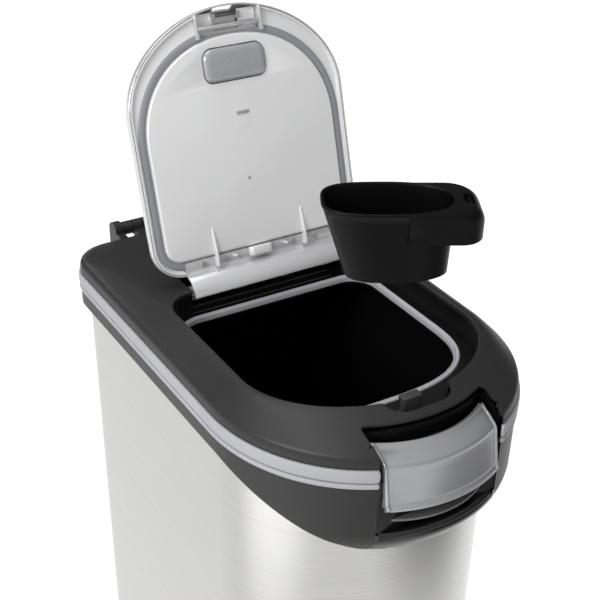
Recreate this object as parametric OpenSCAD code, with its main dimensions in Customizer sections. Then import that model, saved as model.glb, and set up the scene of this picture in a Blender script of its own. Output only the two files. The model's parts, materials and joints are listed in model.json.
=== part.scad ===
// Slim D-shaped steel food storage can: clamped hinged cover, flip lid with a latch, bucket and scoop.
// Millimetres. +Z is up and -Y is the front. The origin is on the floor, under the middle of the box
// that bounds every part.
// Every part is drawn in the rim frame (x to the right, y = 0 at the rear of the parting line, z = 0 on it)
// and the module rim() moves that frame to its place above the floor.

/* [Overall] */
// Width across the parting line between cover and collar
can_w = 280; // [270:1:290]
// Depth of the parting line from back to front
can_d = 449.6; // [440:0.2:460]
// Height of the parting line above the floor
rim_h = 560; // [480:5:600]
// How far the steel body is set in from the parting line at the sides and back
body_inset = 9; // [7:0.5:11]
// How far its front is set back under the collar
body_front_inset = 36; // [30:1:40]
// Height of the cover's crest above the parting line
crest_h = 41.3; // [40:0.1:43]

/* [Opening and lid] */
// Half-width of the lid recess at the crest
recess_hw = 110.8; // [109.5:0.1:112]
// Half-width of the opening inside the lid seal
mouth_hw = 100.8; // [98:0.1:102]
// Half-width of the lid
lid_hw = 108.8; // [107:0.1:109]
// Length of the lid
lid_len = 229.6; // [228:0.1:230]
// Angle that the lid opens through, to its stop
lid_open = 106.9; // [90:0.1:110]
// Depth of the lid's side wall
lid_wall_h = 18.5; // [16:0.5:19]

/* [Clamp and handle] */
// Half-width of the front clamp
clamp_hw = 55; // [50:0.5:56]
// Half-width of the rear carrying handle
handle_hw = 80; // [70:1:85]

/* [Running gear] */
// Radius of the rear wheels over the tyre
wheel_r = 18; // [14:0.5:18]
// Radius of the wheel axle
axle_r = 4; // [3:0.5:5]

/* [Hidden] */
fn_round = 64;
fn_small = 32;
front_segs = 48;
corner_segs = 6;
eps = 0.01;
gap = 0.3;
plate_t = 2;
small_head_r = 2.2;
small_shank_r = 1.3;

// depths along the row's Y axis, measured from the rear of the parting line
depth_front_curve = 144.8;
power_front = 2.05;
corner_r = 38;
recess_back = -162.6;
recess_front = -398.1;
recess_corner = 27.6;
recess_curve = 87.6;
recess_power = 1.97;
mouth_back = -167.7;
mouth_front = -360;
mouth_corner = 24.1;
mouth_curve = 76.8;
mouth_power = 2.78;

// lid, drawn closed and then swung open about its pin
lid_back = -166;
lid_seat_h = 21;
lid_corner = 28.8;
lid_curve = 84.7;
lid_power = 1.92;
lid_pin_y = -147.5;
lid_pin_z = 29.6;
lid_pin_r = 3;
lid_pin_hw = 91;
apron_hw = 79;
apron_r = 20.4;
apron_wall = 1.5;
leaf_front = -178;
leaf_high = 27;
leaf_gap = 0.5;
leaf_t = 3;
knuckle_xs = [-72, -24, 24, 72];
knuckle_r = 7;
channel_z = lid_seat_h + 3;
panel_inset = 14;
gusset_x = 47;
tab_hw = 12;
pocket_r = 21.4;
pocket_hw = 81;
lid_top_h = lid_seat_h + lid_wall_h;
lid_crown = 4.5;
lid_skin = 1.6;
liner_inset = lid_skin + gap;
lid_front = lid_back - lid_len;

// seal around the opening
seal_w = 5;
seal_low = 9.35;
seal_top = 15;
ledge_top = 13.5;
ledge_t = 2.6;
trough_t = 2.2;

// cover dome
dome_wall = 2.6;
dome_foot = 1.2;
band_top = 12.4;
band_low = -5.4;
band_t = 2.6;
crease_h = 22.5;
crease_rise = 2.5;
dome_shares = [0.06, 0.2, 0.36, 0.52, 0.68, 0.84, 0.96];
recess_lip = 4.2;
frame_t = 2.4;
dome_edge = 0.8;

// cover hinge on the rear handle
cover_pin_y = 22;
cover_pin_z = 22;
cover_pin_r = 3;
arm_x = 54;
arm_w = 10;
arm_eye_r = 7;
grip_r = 7;
cheek_t = 8;
cheek_r = 9;
handle_flange_y = 3;
cover_pin_hw = handle_hw - 2;

// collar
collar_low = -21;
collar_front_low = -84;
// how far the collar's skin is set in at heights down its bowl-shaped front
collar_bowl = [[26, -85], [19, -82], [11.5, -77], [5.5, -70], [2, -62], [1, -56], [1, band_low]];
collar_drop_from = -310;
ledge_low = -12;
ledge_high = -9;
front_block_y = -415;
seat_y = -434.5;
seat_low = -53;
shelf_top = -43;
shelf_r = 88.6;
shelf_front = -446.5;
block_hw = 66;
block_low = -58;

// steel body, back panel and base
shell_t = 1;
shell_top = -12.6;
base_h = 50;
base_low = 4;
base_floor_z = 40;
base_floor_t = 3;
shell_low = base_floor_z + base_floor_t + gap - rim_h;
side_screw_depths = [-90, -190, -290];
foot_back = [60, -76];
foot_front = [70, -can_d + 80];
back_panel_t = 2.5;
back_split_y = -26;

// bucket
bucket_inset = 20;
bucket_front_inset = 46;
bucket_t = 2;
bucket_low = 45;
bucket_top = -6;
flange_w = 9;
flange_low = -8.8;

// clamp
clamp_axis_y = -330;
clamp_top_r = 100;
clamp_crease_r = 116;
clamp_face_r = 123;
clamp_top_z = 22;
clamp_crease_z = 13;
clamp_low_z = -27;
clamp_skin = 2.4;
clamp_pin_y = -420.5;
clamp_pin_z = 13.5;
clamp_pin_r = 2.5;
notch_hw = 60;
notch_arc_r = 132;
notch_back = -418;
notch_top = 60;
keeper_z = -20;
keeper_hw = 24;
keeper_y = -436.5;
hook_hw = 26;
hook_front = -444.6;
hook_low = keeper_z - 5;
keeper_lip = 2;
cheek_x = 30;
seat_wall = 2.4;
seat_high = 28;
seat_step = 19;
clamp_room_back = -390;
hinge_lug_r = 4;
spring_r = 3.2;
spring_hw = 8;
hinge_lug_t = 8;
clamp_bore_r = clamp_pin_r + 0.05;

// latch
latch_hw = 31;
rail_r = 3.2;
rail_y = lid_back - 207;
rail_z = 26;
catch_hw = 9;
catch_y = -393.5;
catch_top = 35.5;
catch_t = 6;
catch_nose = 3;
catch_nose_h = 4;
catch_ear = 6;
slider_low = 28.5;
slider_top = 37;
tongue_low = 31;
tab_t = 2.5;
tab_gap = 1;
catch_room = 1.5;
pocket_half = 32;
pocket_front_y = -357.8;
pocket_back_y = -329;
pocket_floor = 18;
pocket_wall = 2;
catch_pocket_hw = 33;
catch_pocket_back = -372;
catch_pocket_len = 38;

// scoop
scoop_len = 89;
scoop_w = 51.5;
scoop_h = 55;
scoop_wall = 1.8;
scoop_yaw = -29.5;
scoop_rim_pos = [-63.5, -428, 237];
scoop_segs = 40;
scoop_handle_len = 18;
scoop_tab_r = 16;
scoop_skirt = 22;

// wheels
wheel_y = -34;
wheel_x = 92;
wheel_w = 20;
hub_r = 12;
tyre_bead = 1;
wheel_lift = 2;
well_gap = 1.2;
axle_cheek_t = 5;
axle_hw = wheel_x + 20;
axle_z = wheel_r + wheel_lift - rim_h;
cap_t = 4;
axle_play = 0.06;
pad_r = 10;
pad_h = 8;

// the bounding box runs from the scoop's handle at the front to the rear handle's cheeks
reach_front = -scoop_rim_pos[1] - (scoop_len / 2 + scoop_handle_len - scoop_tab_r) * sin(scoop_yaw)
    + (scoop_w / 2 - scoop_tab_r) * cos(scoop_yaw) + scoop_tab_r;
reach_back = cover_pin_y + cheek_r;
back_y = (reach_front - reach_back) / 2;

// ---------------------------------------------------------------- outlines

// Points of a D outline: rounded square back, straight sides, superellipse front
function d_points(hw, back, front, corner, curve, power) = concat(
    [for (i = [0:corner_segs])
        let (a = 90 * i / corner_segs)
        [hw - corner + corner * cos(a), back - corner + corner * sin(a)]],
    [for (i = [0:corner_segs])
        let (a = 90 + 90 * i / corner_segs)
        [-(hw - corner) + corner * cos(a), back - corner + corner * sin(a)]],
    [for (i = [0:front_segs])
        let (a = 180 + 180 * i / front_segs)
        [hw * sign(cos(a)) * pow(abs(cos(a)), 2 / power),
         front + curve - curve * pow(abs(sin(a)), 2 / power)]]);

// The can's own outline, set in by an amount
function can_points(inset = 0) = d_points(can_w / 2 - inset, -inset, -can_d + inset,
    max(corner_r - inset, 2), depth_front_curve - inset, power_front);

// The steel body's outline, grown by an amount
function body_points(grow = 0) = d_points(can_w / 2 - body_inset + grow, -body_inset + grow,
    -can_d + body_front_inset - grow, corner_r - body_inset + grow,
    depth_front_curve - body_front_inset + grow, power_front);

// The inner bucket's outline, grown by an amount
function bucket_points(grow = 0) = d_points(can_w / 2 - bucket_inset + grow, -bucket_inset + grow,
    -can_d + bucket_front_inset - grow, corner_r - bucket_inset + grow,
    can_w / 2 - bucket_inset + grow, power_front);

// The recess that the lid lies in, grown by an amount
function recess_points(grow = 0) = d_points(recess_hw + grow, recess_back + grow, recess_front - grow,
    recess_corner + grow, recess_curve + grow, recess_power);

// The opening inside the lid seal, grown by an amount
function mouth_points(grow = 0) = d_points(mouth_hw + grow, mouth_back + grow, mouth_front - grow,
    mouth_corner + grow, mouth_curve + grow, mouth_power);

// The lid's outline, set in by an amount
function lid_points(inset = 0) = d_points(lid_hw - inset, lid_back - inset, lid_front + inset,
    max(lid_corner - inset, 2), lid_curve - inset, lid_power);

function at_height(points, z) = [for (p = points) [p[0], p[1], z]];
function mixed(from, to, share, z) = [for (i = [0:len(from) - 1])
    [from[i][0] + (to[i][0] - from[i][0]) * share, from[i][1] + (to[i][1] - from[i][1]) * share, z]];

// ---------------------------------------------------------------- helpers

// Rim frame to part frame
module rim() {
    translate([0, back_y, rim_h])
        children();
}

// Flat plate with a D outline from z = low to z = high
module plate(points, low, high) {
    translate([0, 0, low])
        linear_extrude(high - low)
            polygon(points);
}

// Upright wall between two D outlines
module wall(outer, inner, low, high) {
    difference() {
        plate(outer, low, high);
        plate(inner, low - 1, high + 1);
    }
}

// Rod along X
module rod_x(r, x0, x1, y, z, fn = fn_round) {
    translate([x0, y, z])
        rotate([0, 90, 0])
            cylinder(r = r, h = x1 - x0, $fn = fn);
}

// Box from its low corner to its high corner
module box(low, high) {
    translate(low)
        cube(high - low);
}

// Solid through rings of points, closed round on itself like a tyre
module ring_loft(rings) {
    count = len(rings[0]);
    turns = len(rings);
    polyhedron(
        points = [for (ring = rings) for (p = ring) p],
        faces = [for (k = [0:turns - 1]) for (i = [0:count - 1])
            let (next_ring = (k + 1) % turns, next = (i + 1) % count)
            each [[k * count + i, next_ring * count + i, k * count + next],
                  [k * count + next, next_ring * count + i, next_ring * count + next]]]);
}

// Solid through rings of points, with flat ends
module capped_loft(rings) {
    count = len(rings[0]);
    turns = len(rings);
    polyhedron(
        points = [for (ring = rings) for (p = ring) p],
        faces = concat(
            [[for (i = [0:count - 1]) i]],
            [[for (i = [count - 1:-1:0]) (turns - 1) * count + i]],
            [for (k = [0:turns - 2]) for (i = [0:count - 1])
                let (next = (i + 1) % count)
                each [[k * count + i, (k + 1) * count + i, k * count + next],
                      [k * count + next, (k + 1) * count + i, (k + 1) * count + next]]]));
}

// Pan-head screw pointing along -Z from its head at the origin
module screw(head_r = 3.2, shank_r = 1.6, length = 8) {
    cylinder(r = head_r, h = 1.6, $fn = fn_small);
    translate([0, 0, -length])
        cylinder(r = shank_r, h = length + eps, $fn = fn_small);
}

// Coil spring along Z as a swept round wire
module coil(coil_r, wire_r, height, turns, steps = 16, sides = 6) {
    total = turns * steps;
    rings = [for (k = [0:total])
        let (a = 360 * k / steps, rise = height * k / total)
        [for (i = [0:sides - 1])
            let (b = 360 * i / sides, reach = coil_r + wire_r * cos(b))
            [reach * cos(a), reach * sin(a), rise + wire_r * sin(b)]]];
    capped_loft(rings);
}

// The lid's parts, drawn closed, at their open rest pose
module lid_rest() {
    translate([0, lid_pin_y, lid_pin_z])
        rotate([-lid_open, 0, 0])
            translate([0, -lid_pin_y, -lid_pin_z])
                children();
}

// ---------------------------------------------------------------- steel body, back, base

module body_shell() {
    color("silver")
        rim()
            difference() {
                wall(body_points(), body_points(-shell_t), shell_low, shell_top);
                box([-can_w, back_split_y, -rim_h - 1], [can_w, 20, 1]);
            }
}

module back_panel() {
    color("dimgray")
        rim()
            intersection() {
                wall(body_points(), body_points(-back_panel_t), shell_low, shell_top);
                box([-can_w, back_split_y + gap, -rim_h - 1], [can_w, 20, 1]);
            }
}

// Places of the four feet under the base
module at_feet() {
    for (side = [-1, 1])
        for (foot = [foot_back, foot_front])
            translate([side * foot[0], foot[1], -rim_h])
                children();
}

module base_tray() {
    color([0.1, 0.1, 0.1])
        rim()
            difference() {
                union() {
                    wall(body_points(4), body_points(gap), base_low - rim_h, base_h - rim_h);
                    plate(body_points(1), base_floor_z - rim_h, shell_low - gap);
                    axle_cheeks();
                    at_feet()
                        translate([0, 0, pad_h])
                            cylinder(r = pad_r + 1, h = base_floor_z - pad_h + 1, $fn = fn_round);
                }
                // wheel wells open to the rear
                for (side = [-1, 1])
                    box([side * wheel_x - wheel_w / 2 - well_gap, wheel_y - wheel_r - 3, -rim_h - 1],
                        [side * wheel_x + wheel_w / 2 + well_gap, 10, base_floor_z - rim_h - eps]);
                rod_x(axle_r, -axle_hw - 2, axle_hw + 2, wheel_y, axle_z);
            }
}

// Plates on both sides of each wheel that carry the axle
module axle_cheeks() {
    for (side = [-1, 1])
        for (cheek = [-1, 1])
            translate([side * wheel_x + cheek * (wheel_w / 2 + 4), wheel_y, 0])
                box([-axle_cheek_t / 2, -12, axle_z - 8], [axle_cheek_t / 2, 12, base_floor_z - rim_h + 1]);
}

// Screws through the steel from inside, at one height on both sides
module side_screws(z) {
    for (side = [-1, 1])
        for (y = side_screw_depths)
            translate([side * (can_w / 2 - body_inset - shell_t), y, z])
                rotate([0, -side * 90, 0])
                    screw(length = 4);
}

module base_screws() {
    color("silver")
        rim()
            side_screws(base_h - 6 - rim_h);
}

module foot_pads() {
    color([0.15, 0.15, 0.15])
        rim()
            at_feet()
                cylinder(r = pad_r, h = pad_h, $fn = fn_round);
}

// ---------------------------------------------------------------- wheels

module wheel_axle() {
    color("silver")
        rim()
            rod_x(axle_r, -axle_hw, axle_hw, wheel_y, axle_z);
}

// Push-on caps that hold the axle in the base
module axle_caps() {
    color("silver")
        rim()
            for (side = [-1, 1])
                difference() {
                    translate([side * (axle_hw - 1), 0, 0])
                        rod_x(axle_r + 3, -cap_t / 2, cap_t / 2, wheel_y, axle_z);
                    rod_x(axle_r, -axle_hw, axle_hw, wheel_y, axle_z);
                }
}

// Half of a wheel's section followed by its mirror image
function both_sides(half) = concat(half, [for (k = [len(half) - 1:-1:0]) [half[k][0], -half[k][1]]]);

// Hub with a waisted rim, on its own axis at the origin
module hub_shape() {
    rotate([0, 90, 0])
        rotate_extrude($fn = fn_round)
            polygon(both_sides([[axle_r + axle_play, -wheel_w / 2], [axle_r + 4, -wheel_w / 2],
                [axle_r + 4, -wheel_w / 4], [hub_r - 3, -wheel_w / 4],
                [hub_r - 3, -wheel_w / 2 + 1], [hub_r, -wheel_w / 2 + 1]]));
}

// Tyre with rounded shoulders, on its own axis at the origin
module tyre_shape() {
    rotate([0, 90, 0])
        rotate_extrude($fn = fn_round)
            polygon(both_sides([[hub_r, -wheel_w / 2 + 1], [wheel_r - 2, -wheel_w / 2 + 1],
                [wheel_r - tyre_bead / 2, -wheel_w / 2 + 2.5], [wheel_r, -wheel_w / 2 + 5]]));
}

module at_wheel(side) {
    rim()
        translate([side * wheel_x, wheel_y, axle_z])
            children();
}

module wheel_hub_left() {
    color("gray")
        at_wheel(-1)
            hub_shape();
}

module wheel_hub_right() {
    color("gray")
        at_wheel(1)
            hub_shape();
}

module wheel_tyre_left() {
    color([0.1, 0.1, 0.1])
        at_wheel(-1)
            tyre_shape();
}

module wheel_tyre_right() {
    color([0.1, 0.1, 0.1])
        at_wheel(1)
            tyre_shape();
}

// ---------------------------------------------------------------- collar and bucket

// Lower edge of the collar: level along the sides, swept down towards the front
function collar_edge(y) =
    let (share = max(collar_drop_from - y, 0) / (can_d + collar_drop_from))
    collar_low + (collar_front_low - collar_low) * pow(share, 1.5);

module collar_trim() {
    side = concat(
        [[20, collar_low]],
        [for (i = [0:corner_segs * 4])
            let (y = collar_drop_from - (can_d + collar_drop_from) * i / corner_segs / 4)
            [y, collar_edge(y)]],
        [[-can_d - 30, collar_front_low], [-can_d - 30, 2 * collar_front_low], [20, 2 * collar_front_low]]);
    translate([-can_w, 0, 0])
        rotate([90, 0, 90])
            linear_extrude(2 * can_w)
                polygon(side);
}

// Notch that the clamp swings in: flat at the collar, curved at the cover
module clamp_notch_low() {
    box([-notch_hw, -can_d - 20, seat_low], [notch_hw, seat_y, 1]);
}

module clamp_notch_high(grow = 0) {
    intersection() {
        box([-notch_hw - grow, -can_d - 20, 0], [notch_hw + grow, clamp_room_back, notch_top]);
        difference() {
            box([-can_w, -can_d - 30, -1], [can_w, clamp_room_back, notch_top + 1]);
            translate([0, notch_back + notch_arc_r + grow, -2])
                cylinder(r = notch_arc_r, h = notch_top + 4, $fn = fn_round * 2);
        }
    }
}

// Outer skin, solid at the front between its bowl shape and the steel set back under it
module collar_skin() {
    difference() {
        capped_loft([for (level = collar_bowl) at_height(can_points(level[0]), level[1])]);
        plate(body_points(gap), 2 * collar_front_low, 1);
    }
}

module collar() {
    color([0.1, 0.1, 0.1])
        rim()
            difference() {
                union() {
                    collar_skin();
                    wall(can_points(band_t + 0.1), can_points(body_inset - gap), ledge_low, -dome_foot / 2);
                    wall(body_points(1), bucket_points(0.5), ledge_low, ledge_high);
                    // solid front behind the clamp
                    intersection() {
                        wall(can_points(band_t + 0.1), bucket_points(flange_w + 1.5),
                            block_low, -dome_foot / 2);
                        box([-block_hw, -can_d - 5, block_low], [block_hw, front_block_y, -dome_foot / 2]);
                    }
                }
                collar_trim();
                clamp_room(-22);
                difference() {
                    clamp_notch_low();
                    finger_shelf();
                }
            }
}

// Shelf across the finger space below the clamp
module finger_shelf() {
    intersection() {
        box([-notch_hw - 1, -can_d, shelf_top - 2], [notch_hw + 1, seat_y + 1, shelf_top]);
        translate([0, shelf_front + shelf_r, shelf_top - 3])
            cylinder(r = shelf_r, h = 5, $fn = fn_round * 2);
    }
}

// Gap in the two bands at the clamp
module band_gap() {
    box([-notch_hw, -can_d - 10, -seat_high], [notch_hw, recess_front, seat_high]);
}

module collar_seal() {
    color([0.45, 0.47, 0.5])
        rim()
            difference() {
                wall(can_points(0), can_points(band_t), band_low, -dome_foot / 2);
                band_gap();
            }
}

module collar_screws() {
    color("silver")
        rim()
            side_screws(-17);
}

module inner_bucket() {
    color([0.12, 0.12, 0.12])
        rim()
            difference() {
                union() {
                    plate(bucket_points(), bucket_low - rim_h, bucket_top);
                    wall(bucket_points(flange_w), bucket_points(-1), flange_low, bucket_top);
                }
                plate(bucket_points(-bucket_t), bucket_low + bucket_t - rim_h, 1);
            }
}

// ---------------------------------------------------------------- rear handle and cover hinge

module rear_handle() {
    color([0.12, 0.12, 0.12])
        rim()
            difference() {
                for (side = [-1, 1])
                    scale([side, 1, 1])
                        handle_cheek();
                rod_x(cover_pin_r, -cover_pin_hw, cover_pin_hw, cover_pin_y, cover_pin_z);
            }
}

// Right-hand cheek of the rear handle, with the flange that is screwed to the collar
module handle_cheek() {
    rod_x(cheek_r, handle_hw - cheek_t, handle_hw, cover_pin_y, cover_pin_z);
    box([handle_hw - cheek_t, 2, collar_low + 1], [handle_hw, cover_pin_y + cheek_r, cover_pin_z]);
    box([handle_hw - cheek_t - 14, -1, collar_low + 1], [handle_hw + 10, handle_flange_y, -6]);
}

module handle_screws() {
    color("silver")
        rim()
            for (side = [-1, 1])
                for (x = [handle_hw - cheek_t - 7, handle_hw + 5])
                    translate([side * x, handle_flange_y, (collar_low - 6) / 2])
                        rotate([-90, 0, 0])
                            screw(head_r = 2.6, length = 8);
}

module handle_grip() {
    color([0.12, 0.12, 0.12])
        rim()
            difference() {
                union() {
                    rod_x(grip_r, -arm_x + arm_w / 2 + 1, arm_x - arm_w / 2 - 1, cover_pin_y, cover_pin_z);
                    for (side = [-1, 1])
                        scale([side, 1, 1])
                            rod_x(grip_r, arm_x + arm_w / 2 + 1, handle_hw - cheek_t,
                                cover_pin_y, cover_pin_z);
                }
                rod_x(cover_pin_r, -handle_hw, handle_hw, cover_pin_y, cover_pin_z);
            }
}

module cover_hinge_pin() {
    color("silver")
        rim()
            rod_x(cover_pin_r, -cover_pin_hw, cover_pin_hw, cover_pin_y, cover_pin_z);
}

module cover_hinge_arms() {
    color([0.12, 0.12, 0.12])
        rim()
            difference() {
                for (side = [-1, 1])
                    translate([side * arm_x, 0, 0]) {
                        rod_x(arm_eye_r, -arm_w / 2, arm_w / 2, cover_pin_y, cover_pin_z);
                        box([-arm_w / 2, -0.8, cover_pin_z - 7], [arm_w / 2, cover_pin_y, cover_pin_z]);
                        box([-arm_w / 2 - 7, -0.8, band_top + 0.6], [arm_w / 2 + 7, 1.6, crease_h - 0.5]);
                    }
                rod_x(cover_pin_r + 0.05, -handle_hw, handle_hw, cover_pin_y, cover_pin_z);
            }
}

// ---------------------------------------------------------------- cover

// Height of the dome's upper surface, from its crease at 0 to its crest at 1
function dome_top(share) = crease_h + crease_rise + (crest_h - crease_h - crease_rise) * sin(90 * share);

module dome_surface() {
    rings = concat(
        [at_height(can_points(band_t + 0.1), dome_foot), at_height(can_points(band_t + 0.1), band_top),
         at_height(can_points(dome_edge), band_top), at_height(can_points(dome_edge), crease_h),
         at_height(can_points(1.5), crease_h + 1.6)],
        [for (share = dome_shares)
            mixed(can_points(dome_edge), recess_points(), share, dome_top(share))],
        [at_height(recess_points(), crest_h - 0.9), at_height(recess_points(), crest_h - recess_lip),
         at_height(recess_points(frame_t), crest_h - recess_lip)],
        [for (k = [5:-1:1])
            mixed(can_points(dome_edge), recess_points(), dome_shares[k],
                dome_top(dome_shares[k]) - dome_wall)],
        [at_height(can_points(2 * dome_wall), crease_h - 0.6),
         at_height(can_points(2 * dome_wall), dome_foot)]);
    ring_loft(rings);
}

module cover_dome() {
    color([0.13, 0.13, 0.14])
        rim()
            difference() {
                dome_surface();
                clamp_notch_high();
                rod_x(pocket_r, -pocket_hw, pocket_hw, lid_pin_y, lid_pin_z);
                catch_pocket(0);
            }
}

// Space in front of the catch, where the lid's latch comes down
module catch_pocket(grow) {
    translate([0, catch_pocket_back, ledge_top - grow])
        linear_extrude(crest_h)
            polygon([for (i = [0:corner_segs * 4])
                let (a = 180 + 45 * i / corner_segs)
                [(catch_pocket_hw + grow) * sign(cos(a)) * pow(abs(cos(a)), 0.5),
                 -(catch_pocket_len + grow) * pow(abs(sin(a)), 0.5)]]);
}

module hinge_trough(grow) {
    difference() {
        rod_x(pocket_r + grow, -pocket_hw - grow, pocket_hw + grow, lid_pin_y, lid_pin_z);
        box([-pocket_hw - 9, lid_pin_y - 40, crest_h - 6], [pocket_hw + 9, lid_pin_y + 40, crest_h + 40]);
    }
}

module cover_frame() {
    color([0.08, 0.08, 0.08])
        rim()
            difference() {
                union() {
                    // recess wall, ledge round the opening and channel that holds the seal
                    wall(recess_points(frame_t), recess_points(), ledge_top - ledge_t,
                        crest_h - recess_lip - 0.1);
                    wall(recess_points(frame_t), mouth_points(seal_w + 0.2), ledge_top - ledge_t, ledge_top);
                    wall(mouth_points(seal_w + frame_t), mouth_points(seal_w + 0.2), seal_low - 3, ledge_top);
                    wall(mouth_points(seal_w + frame_t), mouth_points(0.4), seal_low - 3, seal_low);
                    intersection() {
                        hinge_trough(trough_t);
                        box([-can_w, recess_back + 1, -10], [can_w, 0, crest_h]);
                    }
                    difference() {
                        catch_pocket(trough_t);
                        plate(recess_points(1), 0, 2 * crest_h);
                        box([-notch_hw, notch_back, crest_h - 9], [notch_hw, mouth_front, 2 * crest_h]);
                    }
                }
                rod_x(pocket_r, -pocket_hw, pocket_hw, lid_pin_y, lid_pin_z);
                catch_pocket(0);
                rod_x(lid_pin_r + gap, -lid_pin_hw - 2, lid_pin_hw + 2, lid_pin_y, lid_pin_z);
            }
}

// Seat of the clamp in the cover: curved back, floor, and side walls that hold the pin
module clamp_seat() {
    color([0.1, 0.1, 0.1])
        rim()
            difference() {
                intersection() {
                    clamp_notch_high(seat_wall);
                    plate(can_points(band_t + 0.2), dome_foot, seat_high);
                    union() {
                        box([-can_w, notch_back - 6, dome_foot], [can_w, clamp_room_back, seat_high]);
                        box([-can_w, seat_y + 1.5, dome_foot], [can_w, clamp_room_back, seat_step]);
                    }
                }
                translate([0, 0, dome_foot + 2.2])
                    clamp_notch_high();
                clamp_room(dome_foot - 1);
                // room for the spring on the pin
                rod_x(spring_r + 1, -spring_hw - 2, spring_hw + 2, clamp_pin_y, clamp_pin_z);
                rod_x(clamp_pin_r, -notch_hw - 4, notch_hw + 4, clamp_pin_y, clamp_pin_z);
            }
}

// Ring that the clamp's skin swings in, from a height upwards
module clamp_room(low) {
    intersection() {
        translate([0, clamp_axis_y, low])
            difference() {
                cylinder(r = clamp_face_r + 6, h = 50, $fn = fn_round * 2);
                translate([0, 0, -1])
                    cylinder(r = clamp_crease_r - clamp_skin - 1, h = 52, $fn = fn_round * 2);
            }
        box([-notch_hw, -can_d - 10, low - 1], [notch_hw, clamp_room_back, notch_top]);
    }
}

module cover_seal() {
    color([0.55, 0.57, 0.6])
        rim()
            difference() {
                wall(can_points(0), can_points(band_t), dome_foot - 0.6, band_top - 0.1);
                band_gap();
            }
}

module lid_seal() {
    color([0.45, 0.47, 0.5])
        rim()
            difference() {
                wall(mouth_points(seal_w), mouth_points(0), seal_low, seal_top);
                rod_x(pocket_r, -pocket_hw - 4, pocket_hw + 4, lid_pin_y, lid_pin_z);
            }
}

module lid_catch() {
    color([0.15, 0.15, 0.15])
        rim()
            difference() {
                union() {
                    box([-catch_hw, catch_y, ledge_top], [catch_hw, catch_y + catch_t, catch_top]);
                    box([-catch_hw, catch_y, catch_top - catch_nose_h],
                        [catch_hw, catch_y + catch_t + catch_nose, catch_top]);
                    // foot with an ear on each side for its screw
                    box([-catch_hw - catch_ear, catch_y - 2 * plate_t, ledge_top],
                        [catch_hw + catch_ear, catch_y + catch_t + 4 * plate_t, ledge_top + plate_t]);
                }
                at_catch_screws(ledge_top - 1)
                    cylinder(r = small_shank_r, h = 2 * plate_t + 1, $fn = fn_small);
            }
}

module at_catch_screws(z) {
    for (side = [-1, 1])
        translate([side * (catch_hw + catch_ear / 2), catch_y + catch_t / 2, z])
            children();
}

module catch_screws() {
    color("silver")
        rim()
            at_catch_screws(ledge_top + plate_t)
                screw(head_r = small_head_r, shank_r = small_shank_r, length = 4.4);
}

module lid_bearings() {
    color([0.12, 0.12, 0.12])
        rim()
            difference() {
                for (side = [-1, 1])
                    translate([side * (pocket_hw + 6), 0, 0])
                        box([-3.8, lid_pin_y - 7, 19], [3.8, lid_pin_y + 7, 35]);
                rod_x(lid_pin_r, -lid_pin_hw - 2, lid_pin_hw + 2, lid_pin_y, lid_pin_z);
            }
}

module lid_hinge_pin() {
    color("silver")
        rim()
            rod_x(lid_pin_r, -lid_pin_hw, lid_pin_hw, lid_pin_y, lid_pin_z);
}

module frame_screws() {
    color("silver")
        rim()
            for (side = [-1, 1])
                for (y = [-190, -250, -310])
                    translate([side * (recess_hw + 1), y, ledge_top - ledge_t])
                        rotate([180, 0, 0])
                            screw(head_r = small_head_r, shank_r = 0.9, length = 6);
}

// ---------------------------------------------------------------- lid

module lid_shell() {
    color([0.75, 0.76, 0.78])
        rim()
            lid_rest()
                difference() {
                    lid_cap();
                    pocket_space(lid_top_h - 6);
                    // slot for the hinge leaf in the rear wall
                    box([-apron_hw - leaf_gap, lid_back - 2, lid_seat_h - 1],
                        [apron_hw + leaf_gap, lid_back + 1, leaf_high + gap]);
                }
}

// Space inside the finger pocket, from a height upwards
module pocket_space(low) {
    box([-pocket_half + pocket_wall, pocket_front_y + pocket_wall, low],
        [pocket_half - pocket_wall, pocket_back_y - pocket_wall, 2 * lid_top_h]);
}

// Domed lid top with a turned-down side wall
module lid_cap() {
    centre = [for (p = lid_points(0)) [0, (lid_back + lid_front) / 2]];
    outer = concat(
        [at_height(lid_points(0), lid_seat_h), at_height(lid_points(0), lid_top_h - 2.5),
         at_height(lid_points(1), lid_top_h - 0.8), at_height(lid_points(3), lid_top_h)],
        [for (share = [0.25, 0.5, 0.8, 0.97])
            mixed(lid_points(3), centre, share, lid_top_h + lid_crown * sin(90 * share))]);
    inner = concat(
        [for (share = [0.97, 0.8, 0.5, 0.25])
            mixed(lid_points(3), centre, share, lid_top_h + lid_crown * sin(90 * share) - lid_skin)],
        [at_height(lid_points(3), lid_top_h - lid_skin), at_height(lid_points(lid_skin), lid_top_h - 3),
         at_height(lid_points(lid_skin), lid_seat_h)]);
    difference() {
        capped_loft(outer);
        capped_loft([for (k = [len(inner) - 1:-1:0]) inner[k]]);
    }
}

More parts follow.
